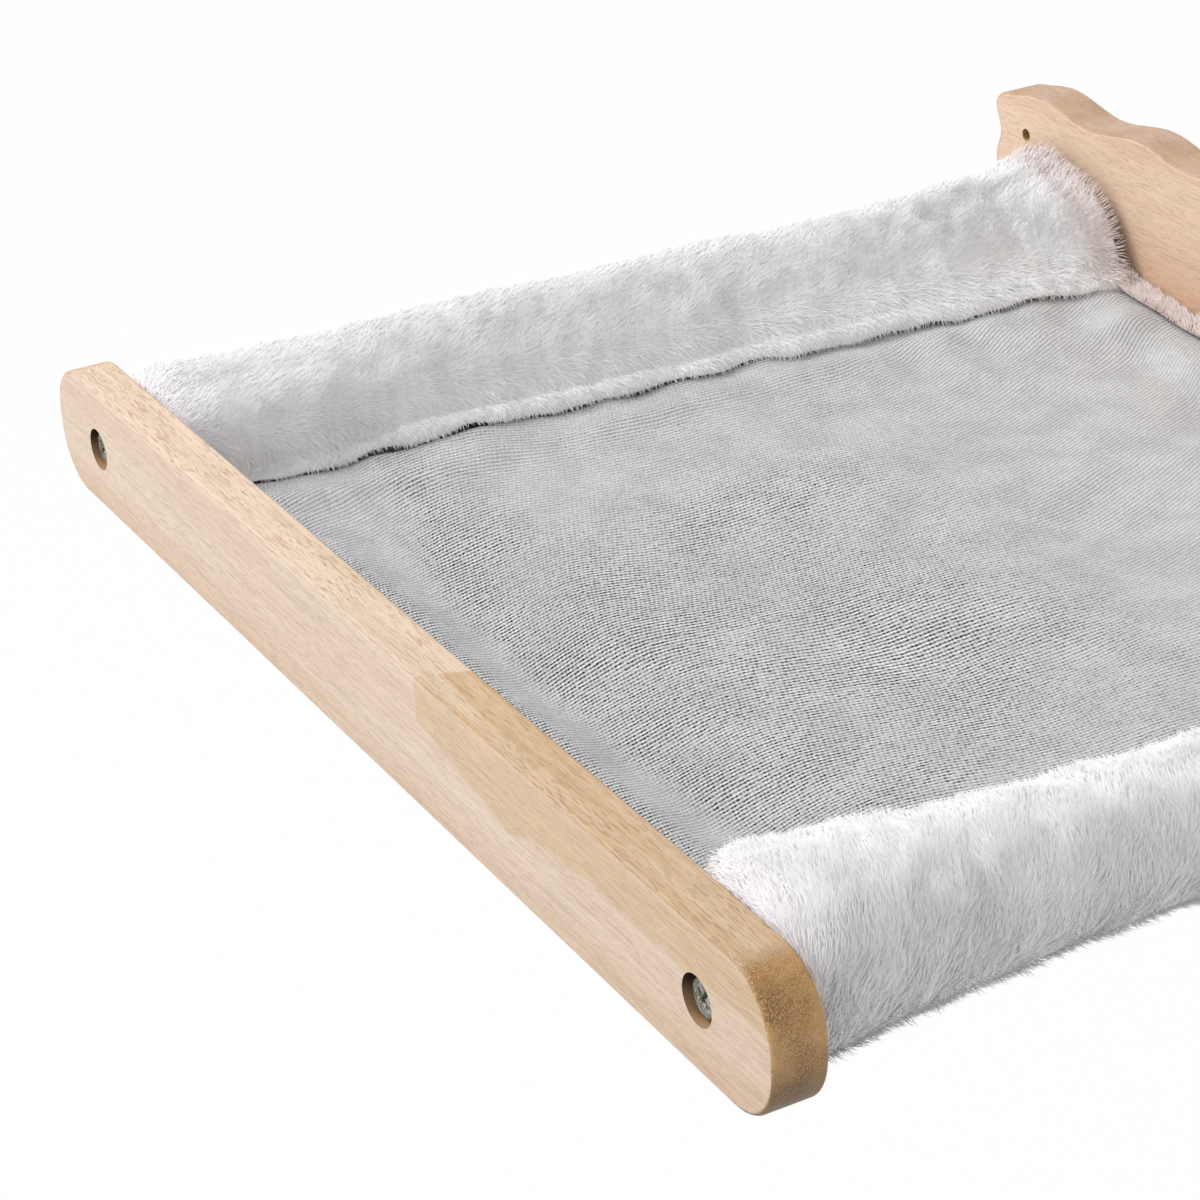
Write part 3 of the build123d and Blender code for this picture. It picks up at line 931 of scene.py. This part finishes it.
# Swell, puff and reach are each a row of distances behind the front rail and a row of values there.
sleeves = (
    {
        "name": "left",
        "side": -1,
        "swell": (
            (0, 31, 60, 116, 150, 195, 240, 285, 330, 360, 376, 388),
            (6.5, 4.4, 3.4, 2.9, 1.9, 1.9, 0.9, -1.0, -0.8, 1.4, 5.0, 6.5),
        ),
        "puff": ((0, 40, 75, 120, 320, 350, 372, 388), (9, 8, 5.5, 2, 2, 4, 12, 14)),
        "reach": (
            (0, 25, 50, 75, 104, 132, 162, 193, 225, 257, 291, 323, 350, 388),
            (0, 1, 0, -2, -2, -1.5, -1, 0, 2, 5.5, 7, 12, 15, 24),
        ),
        "clear": 6.5,
        "seed": 11,
        "hair_length": 4.4,
        "looks": {"fluff": left_fluff, "tuft_lean": 1.05},
    },
    {
        "name": "right",
        "side": 1,
        "swell": ((0, 31, 60, 116, 233, 349, 388), (9.0, 6.2, 3.6, 2.0, 1.2, 1.4, 2.4)),
        "puff": ((0, 31, 60, 116, 388), (12, 12, 9, 4.5, 3)),
        "reach": (
            (0, 6, 10, 16, 28, 60, 110, 300, 350, 388),
            (-12, -8, 6, 12, 14, 13, 11, 10, 11, 12),
        ),
        "clear": 1.5,
        "seed": 23,
        "hair_length": 5.6,
        "looks": {"fluff": right_fluff, "tuft_lean": 2.2, "tuft_size": 12.0},
    },
)
hairs_on_sleeve = 64000
sleeve_thickness = 1.5
lean_along_dowel = 0.25
longer_at_wall = 2.0

for sleeve in sleeves:
    name, side, clear, seed = [sleeve[key] for key in ("name", "side", "clear", "seed")]
    points, lay, to_edge = sleeve_skin(side, sleeve["swell"], sleeve["puff"], sleeve["reach"], clear, seed)
    from_front = points[..., 1] - front_rail_inner
    from_wall = rail_gap - from_front
    along_dowel = lean_along_dowel + 0 * from_front
    length = sleeve["hair_length"]
    if side < 0:
        round_share = np.clip(1.6 - to_edge / 14, -0.45, 1)
        lay = lay * round_share[..., None]
        beside_parting = np.clip((parting_at - from_wall) / 3, -1, 1)
        beside_parting = beside_parting * np.exp(-(((from_wall - parting_at) / 11) ** 2))
        along_dowel = along_dowel + 0.8 * (1 - round_share) + 0.5 * beside_parting
        length = length + longer_at_wall * np.clip(1 - from_wall / 25, 0, 1)
    lay[..., 1] += along_dowel
    length = length * np.clip(0.5 + to_edge / 14, 0, 1)
    skin = skin_mesh(name + "_sleeve_cloth", points, lay, length)
    pile_name = name + "_sleeve_pile"
    pile = grow_pile(pile_name, skin, hairs_on_sleeve, seed, clear, hair_lean=0.34, **sleeve["looks"])
    finish_skin(skin)
    thicken(skin, sleeve_thickness, -1)
    for piece in (skin, pile):
        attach(piece, "root")
    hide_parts(name + "_sleeve")


# Plush panel. The lower side of the sling, the same plush with its pile down, sewn to the knit round
# its edge. Past the knit's edges its pile fills the gap to each rail.
plush_edge = 3.0
plush_thickness = 0.8
plush_hair_length = 5.0
hairs_on_underside = 60000
plush_rows = np.concatenate([
    np.linspace(plush_edge, 16, 8)[:-1],
    np.linspace(16, rail_gap - 14, 110)[:-1],
    np.linspace(rail_gap - 14, rail_gap - plush_edge, 8),
])


def below_knit(columns, rows, raised=0):
    """Points of the sling's lower side at these places, a little below the knit."""
    x, y = np.meshgrid(columns, rows)
    z = sling_height(x, np.clip(y, knit_edge_front, knit_edge_wall)) - plush_drop + raised
    return np.stack([x, y + front_rail_inner, z], axis=-1)


def strip_fluff(points):
    """The wall strip's pile stands up, so all of it catches the light from above."""
    return np.where(points[:, 1] > wall_rail_front - 30, 0.9, 0)


under_points = below_knit(np.linspace(-seam_x, seam_x, 100), plush_rows)[:, ::-1]
under_lay = np.array((0.25, 1.0, 0.0))
underside = skin_mesh("sling_plush", under_points, under_lay, plush_hair_length)
underside_pile = grow_pile("sling_plush_pile", underside, hairs_on_underside, 37, hair_lean=0.4)
finish_skin(underside)
thicken(underside, plush_thickness, -1)

# Each strip's name, rows, height over the lower side, lean across, hair length and seed.
hairs_on_strip = 14000
strips = []
for name, rows, raised, lean, length, seed in (
    ("front", np.linspace(plush_edge, knit_edge_front + 1.0, 6), 0.4, -0.5, 5.0, 41),
    ("wall", np.linspace(knit_edge_wall - 6.0, rail_gap - plush_edge, 10), 4.4, 0.4, 7.0, 43),
):
    strip_points = below_knit(np.linspace(-seam_x, seam_x, 120), rows, raised)
    strip = skin_mesh("strip", strip_points, np.array((-0.5, lean, 0.3)), length)
    looks = {"tuft_size": 5.0, "tuft_lean": 2.0}
    strips.append(grow_pile(name + "_edge_pile", strip, hairs_on_strip, seed, fluff=strip_fluff, **looks))
    bpy.data.objects.remove(strip)
for piece in [underside, underside_pile] + strips:
    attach(piece, "root")
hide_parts("plush_panel")
